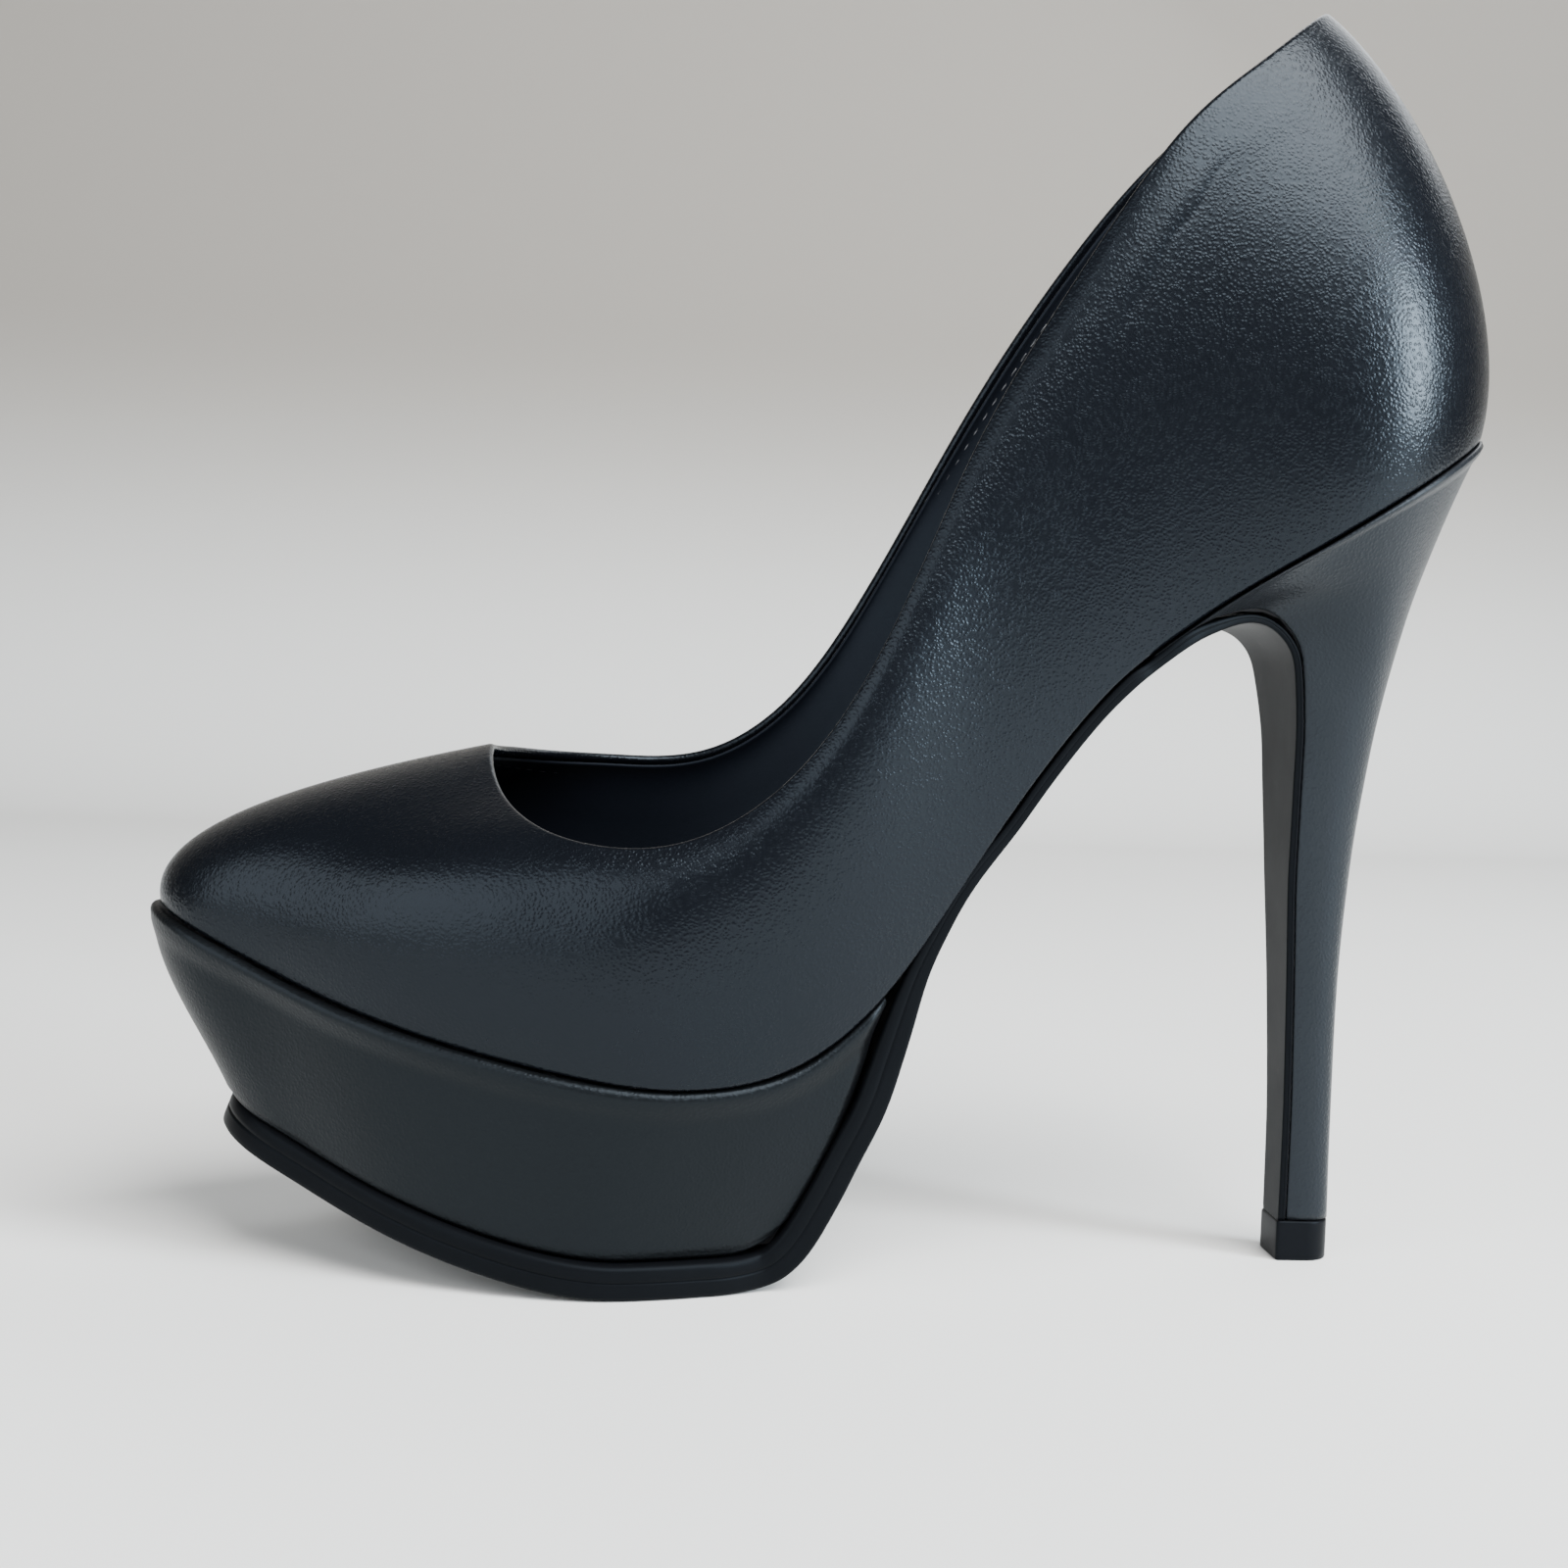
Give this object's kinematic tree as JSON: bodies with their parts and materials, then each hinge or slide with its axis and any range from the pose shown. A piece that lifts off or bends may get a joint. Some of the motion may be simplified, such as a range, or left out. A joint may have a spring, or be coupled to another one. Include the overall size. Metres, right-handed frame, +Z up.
{
  "type": "high heel platform pump",
  "caption": "Black leather platform pump with a pointed round toe, a low throat, a covered platform and a slim covered stiletto heel.",
  "frame": {"origin": "bottom centre of the shoe's bounding box, on the floor", "axes": "+X towards the toe, +Y towards the wearer's left (the outer side of this left shoe), +Z up"},
  "size_m": [0.2116, 0.0758, 0.2025],
  "materials": {
    "upper_leather": "smooth satin calf leather, black with a fine grain",
    "cover_leather": "the same leather, a little duller",
    "lining_leather": "thin matt black lining leather",
    "sole_rubber": "black moulded rubber, satin",
    "top_piece_plastic": "black hard polyurethane",
    "heel_plastic": "cream moulded ABS",
    "platform_plastic": "light moulded platform core",
    "stiffener_sheet": "off-white thermoplastic sheet on cloth",
    "fibre_board": "brown cellulose board",
    "cushion_foam": "cream latex foam",
    "reinforcing_tape": "white woven tape",
    "filler_cork": "cork filler",
    "steel": "plain steel"
  },
  "bodies": {
    "root": {"upper": "upper_leather", "lining": "lining_leather", "topline_tape": "reinforcing_tape", "toe_puff": "stiffener_sheet", "heel_counter": "stiffener_sheet", "insole_board": "fibre_board", "shank_board": "fibre_board", "steel_shank": "steel", "forefoot_pad": "cushion_foam", "heel_pad": "cushion_foam", "sock_lining": "lining_leather", "bottom_filler": "filler_cork", "platform_core": "platform_plastic", "platform_cover": "cover_leather", "outsole": "sole_rubber", "heel_block": "heel_plastic", "heel_cover": "cover_leather", "heel_tube": "steel", "top_piece": "top_piece_plastic", "top_piece_dowel": "steel", "heel_screw": "steel", "heel_nail_1": "steel", "heel_nail_2": "steel", "heel_nail_3": "steel", "heel_nail_4": "steel", "shank_rivet_1": "steel", "shank_rivet_2": "steel"}
  },
  "joints": []
}
